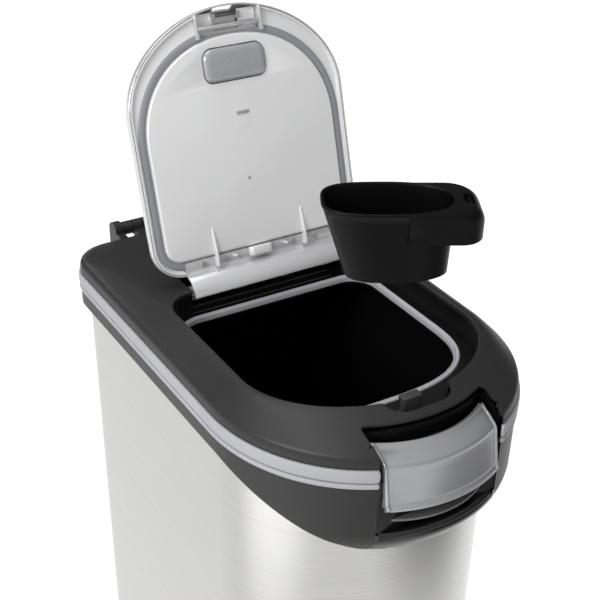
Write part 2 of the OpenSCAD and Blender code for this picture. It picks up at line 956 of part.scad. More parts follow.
module lid_liner() {
    color([0.85, 0.86, 0.88, 1])
        rim()
            lid_rest()
                difference() {
                    union() {
                        plate(lid_points(liner_inset), channel_z, channel_z + plate_t);
                        wall(lid_points(liner_inset), lid_points(liner_inset + plate_t),
                            lid_seat_h, channel_z + 1);
                        plate(lid_points(panel_inset), lid_seat_h, channel_z + 1);
                        // cup of the finger pocket
                        box([-pocket_half, pocket_front_y, pocket_floor],
                            [pocket_half, pocket_back_y, lid_top_h - lid_skin - 0.6]);
                        // gusset ribs and the box between them
                        for (side = [-1, 1])
                            translate([side * gusset_x, 0, 0])
                                box([-1, lid_back - 40, lid_seat_h - 4], [1, lid_back - 15, lid_seat_h + 1]);
                        box([-tab_hw, lid_back - 18, lid_seat_h - 4],
                            [tab_hw, lid_back - 15, lid_seat_h + 1]);
                    }
                    pocket_space(pocket_floor + pocket_wall);
                    // slot for the slider's finger tab
                    box([-tab_hw - 1, pocket_front_y - 3, tongue_low - 1],
                        [tab_hw + 1, pocket_front_y + pocket_wall + 1, 2 * lid_top_h]);
                    // latch opening
                    box([-latch_hw - 3, lid_front - 1, lid_seat_h - 9],
                        [latch_hw + 3, rail_y + 4, lid_seat_h + 8]);
                    // the hinge leaf lies in the rear of the liner
                    box([-apron_hw - leaf_gap, leaf_front - leaf_gap, lid_seat_h - 1],
                        [apron_hw + leaf_gap, lid_back + 1, lid_seat_h + 9]);
                }
}

module lid_hinge() {
    color([0.72, 0.73, 0.75])
        rim()
            lid_rest()
                difference() {
                    union() {
                        hinge_apron();
                        box([-apron_hw, leaf_front, leaf_high - leaf_t], [apron_hw, lid_back + 1, leaf_high]);
                        for (x = knuckle_xs)
                            translate([x, 0, 0])
                                hinge_knuckle();
                    }
                    rod_x(lid_pin_r + 0.05, -lid_pin_hw, lid_pin_hw, lid_pin_y, lid_pin_z);
                }
}

// Curved apron round the lid's pin
module hinge_apron() {
    intersection() {
        difference() {
            rod_x(apron_r, -apron_hw, apron_hw, lid_pin_y, lid_pin_z);
            rod_x(apron_r - apron_wall, -apron_hw - 1, apron_hw + 1, lid_pin_y, lid_pin_z);
        }
        box([-apron_hw, lid_pin_y - 30, lid_pin_z - 30], [apron_hw, lid_pin_y, leaf_high]);
    }
}

// Knuckle on the lid's pin with webs out to the apron
module hinge_knuckle() {
    rod_x(knuckle_r, -5, 5, lid_pin_y, lid_pin_z);
    box([-2, lid_pin_y - apron_r + 1, lid_pin_z - 9], [2, lid_pin_y - 2, leaf_high]);
    box([-1.5, lid_pin_y - 1.5, lid_pin_z - apron_r + 0.7], [1.5, lid_pin_y, lid_pin_z - lid_pin_r]);
}

module lid_screws() {
    color("silver")
        rim()
            lid_rest()
                for (x = [-60, -36, 36, 60])
                    translate([x, lid_back - 7, leaf_high - leaf_t])
                        rotate([180, 0, 0])
                            screw(head_r = 2.4, shank_r = 1.2, length = 5);
}

// ---------------------------------------------------------------- latch

module latch_rail() {
    color("silver")
        rim()
            lid_rest()
                rod_x(rail_r, -latch_hw - 2, latch_hw + 2, rail_y, rail_z);
}

module latch_springs() {
    color("silver")
        rim()
            lid_rest()
                for (x = [-22, 22])
                    translate([x, rail_y + 5, 34])
                        rotate([90, 0, 0])
                            coil(coil_r = 2.2, wire_r = 0.4, height = 8, turns = 5);
}

module latch_slider() {
    color("silver")
        rim()
            lid_rest()
                difference() {
                    union() {
                        box([-latch_hw + 2, rail_y - 16, slider_low], [latch_hw - 2, rail_y - 9, slider_top]);
                        // tongue over the rail to the finger tab in the pocket
                        box([-tab_hw, rail_y - 10, tongue_low],
                            [tab_hw, pocket_front_y + pocket_wall + tab_gap + tab_t, tongue_low + tab_t]);
                        box([-tab_hw, pocket_front_y + pocket_wall + tab_gap, tongue_low - 4],
                            [tab_hw, pocket_front_y + pocket_wall + tab_gap + tab_t, slider_top - 0.5]);
                    }
                    // mouth round the catch, with a bar left to hook under its nose
                    box([-catch_hw - catch_room, rail_y - 22, slider_low - 1],
                        [catch_hw + catch_room, catch_y + catch_t + gap, slider_top + 1]);
                    box([-catch_hw - catch_room, rail_y - 22, catch_top - catch_nose_h - gap],
                        [catch_hw + catch_room, catch_y + catch_t + catch_nose + 2, slider_top + 1]);
                }
}

// ---------------------------------------------------------------- clamp

// Section of the clamp's outer skin, turned about the clamp's upright axis
function clamp_section(inset) = [
    [clamp_top_r, clamp_top_z - inset], [clamp_top_r + 2, clamp_top_z + 0.8 - inset],
    [clamp_crease_r - inset, clamp_crease_z + 0.6 - inset / 2], [clamp_face_r - inset, clamp_low_z]];

// Everything inside the clamp's skin
module clamp_inside() {
    ceiling = clamp_top_z - clamp_skin - 0.2;
    translate([0, clamp_axis_y, 0])
        rotate_extrude($fn = fn_round * 2)
            polygon(concat([[0, clamp_low_z], [0, ceiling]],
                [for (p = clamp_section(clamp_skin + 0.1)) [p[0], min(p[1], ceiling)]]));
}

module clamp_handle() {
    color([0.75, 0.76, 0.78])
        rim()
            translate([0, clamp_axis_y, 0])
                intersection() {
                    rotate_extrude($fn = fn_round * 2)
                        polygon(concat(clamp_section(0),
                            [for (k = [3:-1:0]) clamp_section(clamp_skin)[k]]));
                    translate([-clamp_hw, -clamp_face_r - 10, clamp_low_z - 1])
                        cube([2 * clamp_hw, clamp_face_r - 40, clamp_top_z - clamp_low_z + 4]);
                }
}

module clamp_frame() {
    color([0.1, 0.1, 0.1])
        rim()
            difference() {
                intersection() {
                    clamp_inside();
                    for (side = [-1, 1])
                        translate([side * cheek_x, 0, 0])
                            clamp_lug();
                }
                rod_x(clamp_bore_r, -notch_hw, notch_hw, clamp_pin_y, clamp_pin_z);
            }
}

// Rib from the clamp's pin down the inside of its front
module clamp_lug() {
    half = hinge_lug_t / 2;
    rod_x(hinge_lug_r, -half, half, clamp_pin_y, clamp_pin_z);
    box([-half, -can_d, 4.2], [half, clamp_pin_y, clamp_pin_z]);
    box([-half, -can_d, -22], [half, seat_y - 0.4, 4.3]);
}

module clamp_hook() {
    color("silver")
        rim()
            intersection() {
                clamp_inside();
                union() {
                    box([-hook_hw, hook_front, hook_low], [hook_hw, hook_front + 1.6, -4]);
                    box([-hook_hw, hook_front, hook_low], [hook_hw, keeper_y - 1, hook_low + 2]);
                    box([-hook_hw, keeper_y - 2.5, hook_low], [hook_hw, keeper_y - 1, hook_low + 2.6]);
                }
            }
}

module clamp_pin() {
    color("silver")
        rim()
            rod_x(clamp_pin_r, -notch_hw - seat_wall, notch_hw + seat_wall, clamp_pin_y, clamp_pin_z);
}

module clamp_screws() {
    color("silver")
        rim()
            for (x = [-12, 12])
                translate([x, hook_front + 1.6, -8])
                    rotate([-90, 0, 0])
                        screw(head_r = 2.4, shank_r = 1.2, length = 4.8);
}

module clamp_spring() {
    color("silver")
        rim()
            translate([-spring_hw, clamp_pin_y, clamp_pin_z])
                rotate([0, 90, 0])
                    coil(coil_r = spring_r, wire_r = 0.45, height = 2 * spring_hw, turns = 8);
}

module clamp_keeper() {
    color("silver")
        rim()
            union() {
                box([-keeper_hw, keeper_y, keeper_z - 12], [keeper_hw, seat_y, keeper_z + 8]);
                box([-keeper_hw, keeper_y - keeper_lip, keeper_z - 2], [keeper_hw, keeper_y + 1, keeper_z]);
            }
}

module keeper_screws() {
    color("silver")
        rim()
            for (side = [-1, 1])
                translate([side * 17, keeper_y, keeper_z + 4])
                    rotate([90, 0, 0])
                        screw(head_r = small_head_r, shank_r = 1.2, length = 5);
}

// ---------------------------------------------------------------- scoop

// Outline of the scoop at a depth share: 0 at the rim, 1 at the bottom
function scoop_points(share, inset) = [for (i = [0:scoop_segs - 1])
    let (a = 360 * i / scoop_segs,
         end = cos(a) > 0 ? scoop_len / 2 - inset - 2 * share : scoop_len / 2 - inset - 18 * share,
         power = cos(a) > 0 ? 2.3 : 3.2)
    [end * sign(cos(a)) * pow(abs(cos(a)), 2 / power),
     (scoop_w / 2 - inset - 6 * share) * sign(sin(a)) * pow(abs(sin(a)), 2 / power)]];

module scoop_outside() {
    capped_loft(concat(
        [at_height(scoop_points(1, 5), -scoop_h), at_height(scoop_points(1, 1.5), -scoop_h + 1.5),
         at_height(scoop_points(1, 0), -scoop_h + 5)],
        [for (share = [0.6, 0.3, 0]) at_height(scoop_points(share, 0), -scoop_h * share)]));
}

module scoop_inside() {
    capped_loft(concat(
        [at_height(scoop_points(1, 5), -scoop_h + scoop_wall),
         at_height(scoop_points(1, scoop_wall), -scoop_h + 5)],
        [for (share = [0.6, 0.3, -0.02]) at_height(scoop_points(share, scoop_wall), -scoop_h * share)]));
}

// Plan of the scoop's handle: as wide as the cup, with rounded far corners
module tab_plan(inset) {
    end = scoop_len / 2 + scoop_handle_len - inset;
    side = scoop_w / 2 - inset;
    corner = scoop_tab_r - inset;
    hull() {
        translate([scoop_len / 4, -side])
            square([1, 2 * side]);
        for (turn = [-1, 1])
            translate([end - corner, turn * (side - corner)])
                circle(r = corner, $fn = fn_small);
    }
}

// Hooded handle: flat top, skirt turned down round its edge, slot to hang it by
module scoop_handle() {
    difference() {
        translate([0, 0, -scoop_skirt])
            linear_extrude(scoop_skirt)
                tab_plan(0);
        translate([0, 0, -scoop_skirt - 1])
            linear_extrude(scoop_skirt - 1.4)
                tab_plan(scoop_wall);
        translate([scoop_len / 2 + 6, -8, -5])
            cube([7, 16, 6]);
    }
}

module scoop() {
    color([0.08, 0.08, 0.08])
        rim()
            translate(scoop_rim_pos)
                rotate([0, 0, scoop_yaw])
                    difference() {
                        union() {
                            scoop_outside();
                            scoop_handle();
                        }
                        scoop_inside();
                    }
}

body_shell();
back_panel();
base_tray();
collar();
collar_seal();
inner_bucket();
rear_handle();
handle_grip();
cover_hinge_pin();
handle_screws();
base_screws();
collar_screws();
wheel_axle();
axle_caps();
foot_pads();
clamp_keeper();
keeper_screws();
wheel_hub_left();
wheel_tyre_left();
wheel_hub_right();
wheel_tyre_right();
cover_dome();
cover_frame();
cover_seal();
lid_seal();
lid_catch();
clamp_seat();
cover_hinge_arms();
lid_bearings();
lid_hinge_pin();
clamp_pin();
frame_screws();
catch_screws();
lid_shell();
lid_liner();
lid_hinge();
lid_screws();
latch_rail();
latch_springs();
latch_slider();
clamp_handle();
clamp_frame();
clamp_hook();
clamp_screws();
clamp_spring();
scoop();
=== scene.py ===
"""Looks of a slim steel food storage can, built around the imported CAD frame.

Lengths below are millimetres in the rim frame: x to the right, y = 0 at the rear of the parting line
between cover and body, z = 0 on that line. place() turns them into the row frame's metres.
"""

import json
import math

import bmesh
import bpy
from mathutils import Matrix, Vector


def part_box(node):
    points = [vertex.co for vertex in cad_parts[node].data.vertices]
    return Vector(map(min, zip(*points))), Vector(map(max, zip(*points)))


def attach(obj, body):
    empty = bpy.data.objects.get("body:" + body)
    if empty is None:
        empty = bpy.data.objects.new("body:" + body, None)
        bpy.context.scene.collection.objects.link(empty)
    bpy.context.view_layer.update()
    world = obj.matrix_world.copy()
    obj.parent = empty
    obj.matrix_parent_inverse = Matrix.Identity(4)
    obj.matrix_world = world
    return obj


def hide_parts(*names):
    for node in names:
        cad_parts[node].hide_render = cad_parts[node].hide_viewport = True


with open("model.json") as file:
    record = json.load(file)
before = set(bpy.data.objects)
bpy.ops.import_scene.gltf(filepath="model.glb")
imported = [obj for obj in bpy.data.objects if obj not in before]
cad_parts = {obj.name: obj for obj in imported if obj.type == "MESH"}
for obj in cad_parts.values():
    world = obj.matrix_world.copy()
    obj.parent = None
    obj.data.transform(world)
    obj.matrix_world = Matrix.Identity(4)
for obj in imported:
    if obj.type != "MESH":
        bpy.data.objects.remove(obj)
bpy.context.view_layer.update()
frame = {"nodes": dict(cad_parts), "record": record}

# ---------------------------------------------------------------- sizes, as in the CAD source

MM = 0.001
RIM_H = 560.0
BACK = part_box("cover_seal")[1].y / MM

CAN_HW, CAN_D = 140.0, 449.6
RECESS = (110.8, -162.6, -398.1, 27.6, 87.6, 1.97)
MOUTH = (100.8, -167.7, -360.0, 24.1, 76.8, 2.78)
LID = (108.8, -166.0, -395.6, 28.8, 84.7, 1.92)
CREST_Z = 41.3
SHELL_TOP, BACK_SPLIT, FRONT_Y = -12.6, -26.0, -400.0
STEEL_T, PANEL_T = 1.0, 2.5
COLLAR_LOW, COLLAR_FRONT_LOW, COLLAR_DROP = -21.0, -84.0, -310.0
COLLAR_BOWL = ((-85, 26), (-82, 19), (-77, 11.5), (-70, 5.5), (-62, 2), (-56, 1), (0, 1))
BODY = (131.0, -9.0, -413.6, 29.0, 108.8, 2.05)
PANEL = (94.8, -180.0, -369.5, 14.8, 87.0, 2.15)
SEAT_Y, SEAT_LOW, NOTCH_HW, BLOCK_HW, BLOCK_Y = -434.5, -53.0, 60.0, 66.0, -431.0
LID_PIN_Y, LID_PIN_Z, LID_OPEN = -147.5, 29.6, 106.9
APRON_HW, APRON_R, LEAF_FRONT, LEAF_TOP = 79.0, 20.4, -178.0, 27.0
LID_TOP = 39.5
CLAMP_AXIS_Y = -330.0
SCOOP_AT = Vector((-63.5, -428.0, 237.0))
SCOOP_YAW, SCOOP_HL, SCOOP_HW, SCOOP_H, TAB_LEN = -29.5, 44.5, 25.75, 55.0, 18.0

CORNER_N, SIDE_N, FRONT_N = 14, 16, 128


def place(p):
    return Vector((p[0] * MM, (p[1] + BACK) * MM, (p[2] + RIM_H) * MM))


def on_lid(p):
    """A point of the closed lid, swung open about the lid's pin."""
    a = math.radians(-LID_OPEN)
    y, z = p[1] - LID_PIN_Y, p[2] - LID_PIN_Z
    turned = (p[0], LID_PIN_Y + y * math.cos(a) - z * math.sin(a), LID_PIN_Z + y * math.sin(a) + z * math.cos(a))
    return place(turned)


def on_scoop(p):
    a = math.radians(SCOOP_YAW)
    turned = Vector((p[0] * math.cos(a) - p[1] * math.sin(a), p[0] * math.sin(a) + p[1] * math.cos(a), p[2]))
    return place(turned + SCOOP_AT)


# ---------------------------------------------------------------- outlines and mesh helpers


def signed_power(value, power):
    return math.copysign(abs(value) ** power, value)


def outline(hw, back, front, corner, curve, power):
    """Points of a D outline: rounded square back, straight sides, superellipse front."""
    points = []
    for side in (1, -1):
        for i in range(CORNER_N + 1):
            a = math.radians(90 * i / CORNER_N + (0 if side > 0 else 90))
            points.append((side * (hw - corner) + corner * math.cos(a), back - corner + corner * math.sin(a)))
    top, low = back - corner, front + curve
    points += [(-hw, top + (low - top) * i / SIDE_N) for i in range(1, SIDE_N)]
    for i in range(FRONT_N + 1):
        a = math.pi + math.pi * i / FRONT_N
        points.append((hw * signed_power(math.cos(a), 2 / power), low - curve * abs(math.sin(a)) ** (2 / power)))
    points += [(hw, low + (top - low) * i / SIDE_N) for i in range(1, SIDE_N)]
    return points


def inset_outline(shape, inset):
    hw, back, front, corner, curve, power = shape
    return outline(hw - inset, back - inset, front + inset, max(corner - inset, 2), curve - inset, power)


def can(inset):
    return inset_outline((CAN_HW, 0, -CAN_D, 38.0, 144.8, 2.05), inset)


def body(grow):
    return inset_outline(BODY, -grow)


def panel(inset):
    return inset_outline(PANEL, inset)


def recess(grow):
    return inset_outline(RECESS, -grow)


def mouth(grow):
    return inset_outline(MOUTH, -grow)


def lid_line(inset):
    return inset_outline(LID, inset)


def at_height(points, z):
    return [(x, y, z) for x, y in points]


def loft(rings, loop=False, caps=True):
    """Vertices and faces through rings of equally many points."""
    count, turns = len(rings[0]), len(rings)
    verts = [p for ring in rings for p in ring]
    faces = []
    for k in range(turns if loop else turns - 1):
        a, b = k * count, (k + 1) % turns * count
        faces += [(a + i, a + (i + 1) % count, b + (i + 1) % count, b + i) for i in range(count)]
    if caps and not loop:
        faces += [tuple(reversed(range(count))), tuple((turns - 1) * count + i for i in range(count))]
    return verts, faces


def strip(line, section, keep=None, round_ends=0.0):
    """Sweeps a closed section of (inset, z) pairs round an outline; z may be a function of x and y.

    keep(x, y) says which part of the outline is followed, and round_ends rounds off its two ends.
    """
    lines = [line(inset) for inset, z in section]
    spots = [i for i in range(len(lines[0])) if keep is None or keep(*lines[0][i])]
    slices = []
    for i in spots:
        level = lines[0][i]
        slices.append([(lines[k][i][0], lines[k][i][1], z(*level) if callable(z) else z)
                       for k, (inset, z) in enumerate(section)])
    if keep is None:
        return loft(slices, loop=True)
    first = next(k for k in range(len(spots)) if (spots[k] - spots[k - 1]) % len(lines[0]) != 1)
    slices = slices[first:] + slices[:first]
    if round_ends:
        slices = rounded_end(slices[0], slices[1], round_ends)[::-1] + slices
        slices += rounded_end(slices[-1], slices[-2], round_ends)
    return loft(slices)


def rounded_end(last, before, size):
    """Shrinking copies of an end slice that round it off."""
    middle = sum((Vector(p) for p in last), Vector()) / len(last)
    onward = (middle - sum((Vector(p) for p in before), Vector()) / len(before)).normalized()
    slices = []
    for a in (25, 50, 72, 86):
        a = math.radians(a)
        reach, shrink = onward * size * math.sin(a), 1 - (1 - math.cos(a)) * 0.85
        slices.append([tuple(middle + (Vector(p) - middle) * shrink + reach) for p in last])
    return slices


def block(low, high):
    x0, y0, z0 = low
    x1, y1, z1 = high
    ring = [(x0, y0), (x1, y0), (x1, y1), (x0, y1)]
    return loft([at_height(ring, z0), at_height(ring, z1)])


def rod(start, end, radius, count=48):
    """Round bar between two points."""
    start, end = Vector(start), Vector(end)
    turn = (end - start).to_track_quat("Z", "Y")
    circle = [turn @ Vector((radius * math.cos(t), radius * math.sin(t), 0))
              for t in (2 * math.pi * i / count for i in range(count))]
    return loft([[tuple(start + c) for c in circle], [tuple(end + c) for c in circle]])


def rounded_rect(hw, hh, radius, count=8):
    points = []
    for corner in range(4):
        sx, sy = ((1, 1), (-1, 1), (-1, -1), (1, -1))[corner]
        for i in range(count + 1):
            a = math.radians(90 * (corner + i / count))
            points.append((sx * (hw - radius) + radius * math.cos(a), sy * (hh - radius) + radius * math.sin(a)))
    return points


def joined(*parts):
    verts, faces = [], []
    for part_verts, part_faces in parts:
        faces += [tuple(i + len(verts) for i in face) for face in part_faces]
        verts += part_verts
    return verts, faces


def bare_mesh(name, shape, at):
    mesh = bpy.data.meshes.new(name)
    mesh.from_pydata([at(v) for v in shape[0]], [], shape[1])
    work = bmesh.new()
    work.from_mesh(mesh)
    bmesh.ops.remove_doubles(work, verts=work.verts, dist=1e-7)
    bmesh.ops.recalc_face_normals(work, faces=work.faces)
    work.to_mesh(mesh)
    work.free()
    piece = bpy.data.objects.new(name, mesh)
    bpy.context.scene.collection.objects.link(piece)
    return piece


def apply_modifiers(piece):
    bpy.context.view_layer.update()
    solved = piece.evaluated_get(bpy.context.evaluated_depsgraph_get())
    mesh = bpy.data.meshes.new_from_object(solved)
    piece.modifiers.clear()
    piece.data = mesh


def make(name, shape, finish, body, stands_for=(), at=place, plus=(), minus=(), bevel=None, sharp=32):
    """A piece from a shape, with shapes joined to it and cut off it, and its sharp edges rounded by bevel mm."""
    piece = bare_mesh(name, shape, at)
    tools = [(tool, "UNION") for tool in plus] + [(tool, "DIFFERENCE") for tool in minus]
    for number, (tool, kind) in enumerate(tools):
        cutter = bare_mesh(f"{name}_tool{number}", tool, at)
        step = piece.modifiers.new("tool", "BOOLEAN")
        step.object = cutter
        step.operation = kind
        step.solver = "EXACT"
        apply_modifiers(piece)
        bpy.data.objects.remove(cutter)
    if bevel:
        step = piece.modifiers.new("edges", "BEVEL")
        step.width = bevel * MM
        step.segments = 3
        step.limit_method = "ANGLE"
        step.angle_limit = math.radians(sharp)
        step.use_clamp_overlap = True
        apply_modifiers(piece)
    piece.data.name = name
    piece.data.shade_smooth()
    piece.data.set_sharp_from_angle(angle=math.radians(sharp))
    piece.data.materials.clear()
    piece.data.materials.append(finish)
    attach(piece, body)
    if stands_for:
        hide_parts(*stands_for)
    return piece


# ---------------------------------------------------------------- materials


def node_material(name, colour, roughness, metallic=0.0):
    material = bpy.data.materials.new(name)
    material.use_nodes = True
    shader = material.node_tree.nodes["Principled BSDF"]
    shader.inputs["Base Color"].default_value = (*colour, 1)
    shader.inputs["Roughness"].default_value = roughness
    shader.inputs["Metallic"].default_value = metallic
    return material, material.node_tree, shader


def noise_node(tree, scale, detail=3.0, stretch=(1, 1, 1)):
    spot = tree.nodes.new("ShaderNodeTexCoord")
    mapping = tree.nodes.new("ShaderNodeMapping")
    mapping.inputs["Scale"].default_value = stretch
    tree.links.new(spot.outputs["Object"], mapping.inputs["Vector"])
    texture = tree.nodes.new("ShaderNodeTexNoise")
    texture.inputs["Scale"].default_value = scale
    texture.inputs["Detail"].default_value = detail
    tree.links.new(mapping.outputs["Vector"], texture.inputs["Vector"])
    return texture


def vary(tree, texture, target, low, high, span=(0.3, 0.7)):
    """Drives a shader value between low and high by a texture."""
    ranged = tree.nodes.new("ShaderNodeMapRange")
    ranged.inputs["From Min"].default_value = span[0]
    ranged.inputs["From Max"].default_value = span[1]
    ranged.inputs["To Min"].default_value = low
    ranged.inputs["To Max"].default_value = high
    tree.links.new(texture.outputs["Fac"], ranged.inputs["Value"])
    tree.links.new(ranged.outputs["Result"], target)


def tint(tree, texture, shader, dark, light):
    ramp = tree.nodes.new("ShaderNodeValToRGB")
    ramp.color_ramp.elements[0].position = 0.3
    ramp.color_ramp.elements[0].color = (*dark, 1)
    ramp.color_ramp.elements[1].position = 0.7
    ramp.color_ramp.elements[1].color = (*light, 1)
    tree.links.new(texture.outputs["Fac"], ramp.inputs["Fac"])
    tree.links.new(ramp.outputs["Color"], shader.inputs["Base Color"])


def bump(tree, texture, shader, height, strength=1.0):
    node = tree.nodes.new("ShaderNodeBump")
    node.inputs["Strength"].default_value = strength
    node.inputs["Distance"].default_value = height * MM
    tree.links.new(texture.outputs["Fac"], node.inputs["Height"])
    tree.links.new(node.outputs["Normal"], shader.inputs["Normal"])


def grained(name, colour, roughness, grain=1400, depth=0.05, spread=0.12, specular=0.5, coat=0.0, metallic=0.0):
    """Moulded plastic: fine spark-eroded grain, faint cloudiness in colour and gloss."""
    material, tree, shader = node_material(name, colour, roughness, metallic)
    shader.inputs["Specular IOR Level"].default_value = specular
    shader.inputs["Coat Weight"].default_value = coat
    shader.inputs["Coat Roughness"].default_value = 0.08
    cloud = noise_node(tree, 18)
    tint(tree, cloud, shader, [c * (1 - spread) for c in colour], [c * (1 + spread) for c in colour])
    vary(tree, noise_node(tree, grain / 4, 2), shader.inputs["Roughness"], roughness - 0.015, roughness + 0.015)
    bump(tree, noise_node(tree, grain, 2), shader, depth)
    return material


def brushed(name, colour, roughness, stretch, depth=0.012, anisotropic=0.6, scale=1.0):
    """Metal with fine lines of brushing."""
    material, tree, shader = node_material(name, colour, roughness, 1.0)
    lines = noise_node(tree, scale, 5, stretch)
    tint(tree, lines, shader, [c * 0.95 for c in colour], [min(c * 1.05, 1) for c in colour])
    vary(tree, noise_node(tree, scale, 4, [s * 0.8 for s in stretch]), shader.inputs["Roughness"],
         roughness - 0.06, roughness + 0.07)
    bump(tree, lines, shader, depth)
    shader.inputs["Anisotropic"].default_value = anisotropic
    return material


def build_materials():
    return {
        "steel_shell": brushed("brushed_steel", (0.45, 0.446, 0.438), 0.17, (14, 14, 1600), depth=0.004,
                               anisotropic=0.4),
        "black_panel": grained("rear_panel_black", (0.012, 0.012, 0.0125), 0.5, specular=0.3),
        "black_plastic": grained("collar_black", (0.014, 0.0135, 0.013), 0.42, specular=0.3),
        # Grey stands in for sheen: the finger shelf is black plastic, drawn grey as painted sheen of the light it
        # catches from above.
        "shelf_painted_sheen": grained("shelf_painted_sheen", (0.1, 0.1, 0.102), 0.35, grain=700, depth=0.02),
        "catch_plastic": grained("catch_grey", (0.03, 0.029, 0.029), 0.45),
        "trough_brown": grained("trough_brown", (0.05, 0.04, 0.036), 0.4),
        # The clamp's silver is a darker copy of the lid's silver paint: the darkening is painted shade.
        "clamp_paint": grained("clamp_silver_painted_shade", (0.3, 0.303, 0.312), 0.24, grain=2600, depth=0.008,
                               spread=0.03, coat=0.5, metallic=0.55),
        "cup_plastic": grained("cup_grey", (0.3, 0.305, 0.32), 0.28, grain=1200, depth=0.01, spread=0.04,
                               coat=0.4, metallic=0.3),
        "gasket_grey": grained("gasket_grey", (0.2, 0.205, 0.22), 0.55, grain=1800, depth=0.02, spread=0.05),
        "gloss_black": grained("gloss_black", (0.003, 0.003, 0.0035), 0.12, grain=500, depth=0.006),
        "cover_plastic": grained("cover_charcoal", (0.013, 0.0128, 0.0128), 0.44, depth=0.04, specular=0.34),
        "frame_plastic": grained("frame_black", (0.003, 0.003, 0.0032), 0.4, specular=0.2),
        "bucket_plastic": grained("bucket_black", (0.002, 0.0018, 0.0018), 0.6, specular=0.08),
        "scoop_plastic": grained("scoop_black", (0.002, 0.002, 0.002), 0.36, grain=900, depth=0.03,
                                 specular=0.09),
        "wheel_plastic": grained("wheel_grey", (0.04, 0.04, 0.042), 0.5),
        "grey_seal": grained("seal_grey", (0.29, 0.292, 0.308), 0.6, grain=2200, depth=0.02, spread=0.04),
        "rubber_pad": grained("rubber_black", (0.018, 0.018, 0.018), 0.8, grain=700, depth=0.08),
        "silver_plastic": grained("silver_paint", (0.5, 0.503, 0.51), 0.24, grain=2600, depth=0.008,
                                  spread=0.03, coat=0.4, metallic=0.45),
        "liner_plastic": grained("liner_silver", (0.68, 0.682, 0.688), 0.3, grain=2400, depth=0.003,
                                 spread=0.02, coat=0.3, metallic=0.3),
        # Near-black steel for the clamp's spring, pin, hook and screws in place of their plated steel: painted shade
        # under the clamp.
        "clamp_steel_painted_shade": brushed("steel_under_clamp_painted_shade", (0.03, 0.03, 0.032), 0.4, (300, 60, 60), depth=0.002,
                              anisotropic=0.2),
        "steel_pin": brushed("plated_steel", (0.62, 0.62, 0.63), 0.22, (60, 300, 300), depth=0.003,
                             anisotropic=0.2),
    }


M = build_materials()

# ---------------------------------------------------------------- body


def collar_edge(x, y):
    """Height of the collar's lower edge: level along the sides, swept down towards the front."""
    if y > COLLAR_DROP:
        return COLLAR_LOW
    share = (COLLAR_DROP - y) / (CAN_D + COLLAR_DROP)
    return COLLAR_LOW + (COLLAR_FRONT_LOW - COLLAR_LOW) * share ** 1.5


def front_part(half_width):
    return lambda x, y: abs(x) < half_width and y < FRONT_Y


def not_front(half_width):
    return lambda x, y: not (abs(x) < half_width and y < FRONT_Y)


def front_plate(inset, half_width, back_y, low, high):
    """Plate behind the front of the outline, out to a half-width."""
    ring = [(x, y) for x, y in can(inset) if abs(x) < half_width and y < FRONT_Y]
    ring = [(-half_width, ring[0][1])] + ring + [(half_width, ring[-1][1]), (half_width, back_y),
                                                 (-half_width, back_y)]
    return loft([at_height(ring, low), at_height(ring, high)])


def build_body():
    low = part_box("body_shell")[0].z / MM - RIM_H
    steel = [(0, low), (0, SHELL_TOP), (-STEEL_T, SHELL_TOP), (-STEEL_T, low)]
    make("steel_body", strip(body, steel, lambda x, y: y < BACK_SPLIT), M["steel_shell"], "root",
         ["body_shell"])
    back = [(0, low), (0, SHELL_TOP), (-PANEL_T, SHELL_TOP), (-PANEL_T, low)]
    make("rear_panel", strip(body, back, lambda x, y: y > BACK_SPLIT), M["black_panel"], "root",
         ["back_panel"])


def bowl_inset(z):
    for (z0, i0), (z1, i1) in zip(COLLAR_BOWL, COLLAR_BOWL[1:]):
        if z < z1:
            return i0 + (i1 - i0) * (z - z0) / (z1 - z0)
    return COLLAR_BOWL[-1][1]


def collar_shape():
    """Skin of the collar: upright at the sides, a bowl at the front that meets the steel under it."""
    flush, deep, steel = can(0), can(30), body(0.3)
    slices = []
    for a, b, c in zip(flush, deep, steel):
        low = collar_edge(*a)
        slice_points = [(2.7, -0.6), (2.7, -5.6), (1.6, -5.7)]
        for k in range(25):
            z = -6.3 + (low + 1.2 + 6.3) * k / 24
            slice_points.append((bowl_inset(z), z))
        slice_points.append((bowl_inset(low) + 0.4, low + 0.35))
        slice_points.append((bowl_inset(low) + 1.2, low))
        ring = [(a[0] + (b[0] - a[0]) * i / 30, a[1] + (b[1] - a[1]) * i / 30, z) for i, z in slice_points]
        slices.append(ring + [(c[0], c[1], low), (c[0], c[1], -0.6)])
    return loft(slices, loop=True)


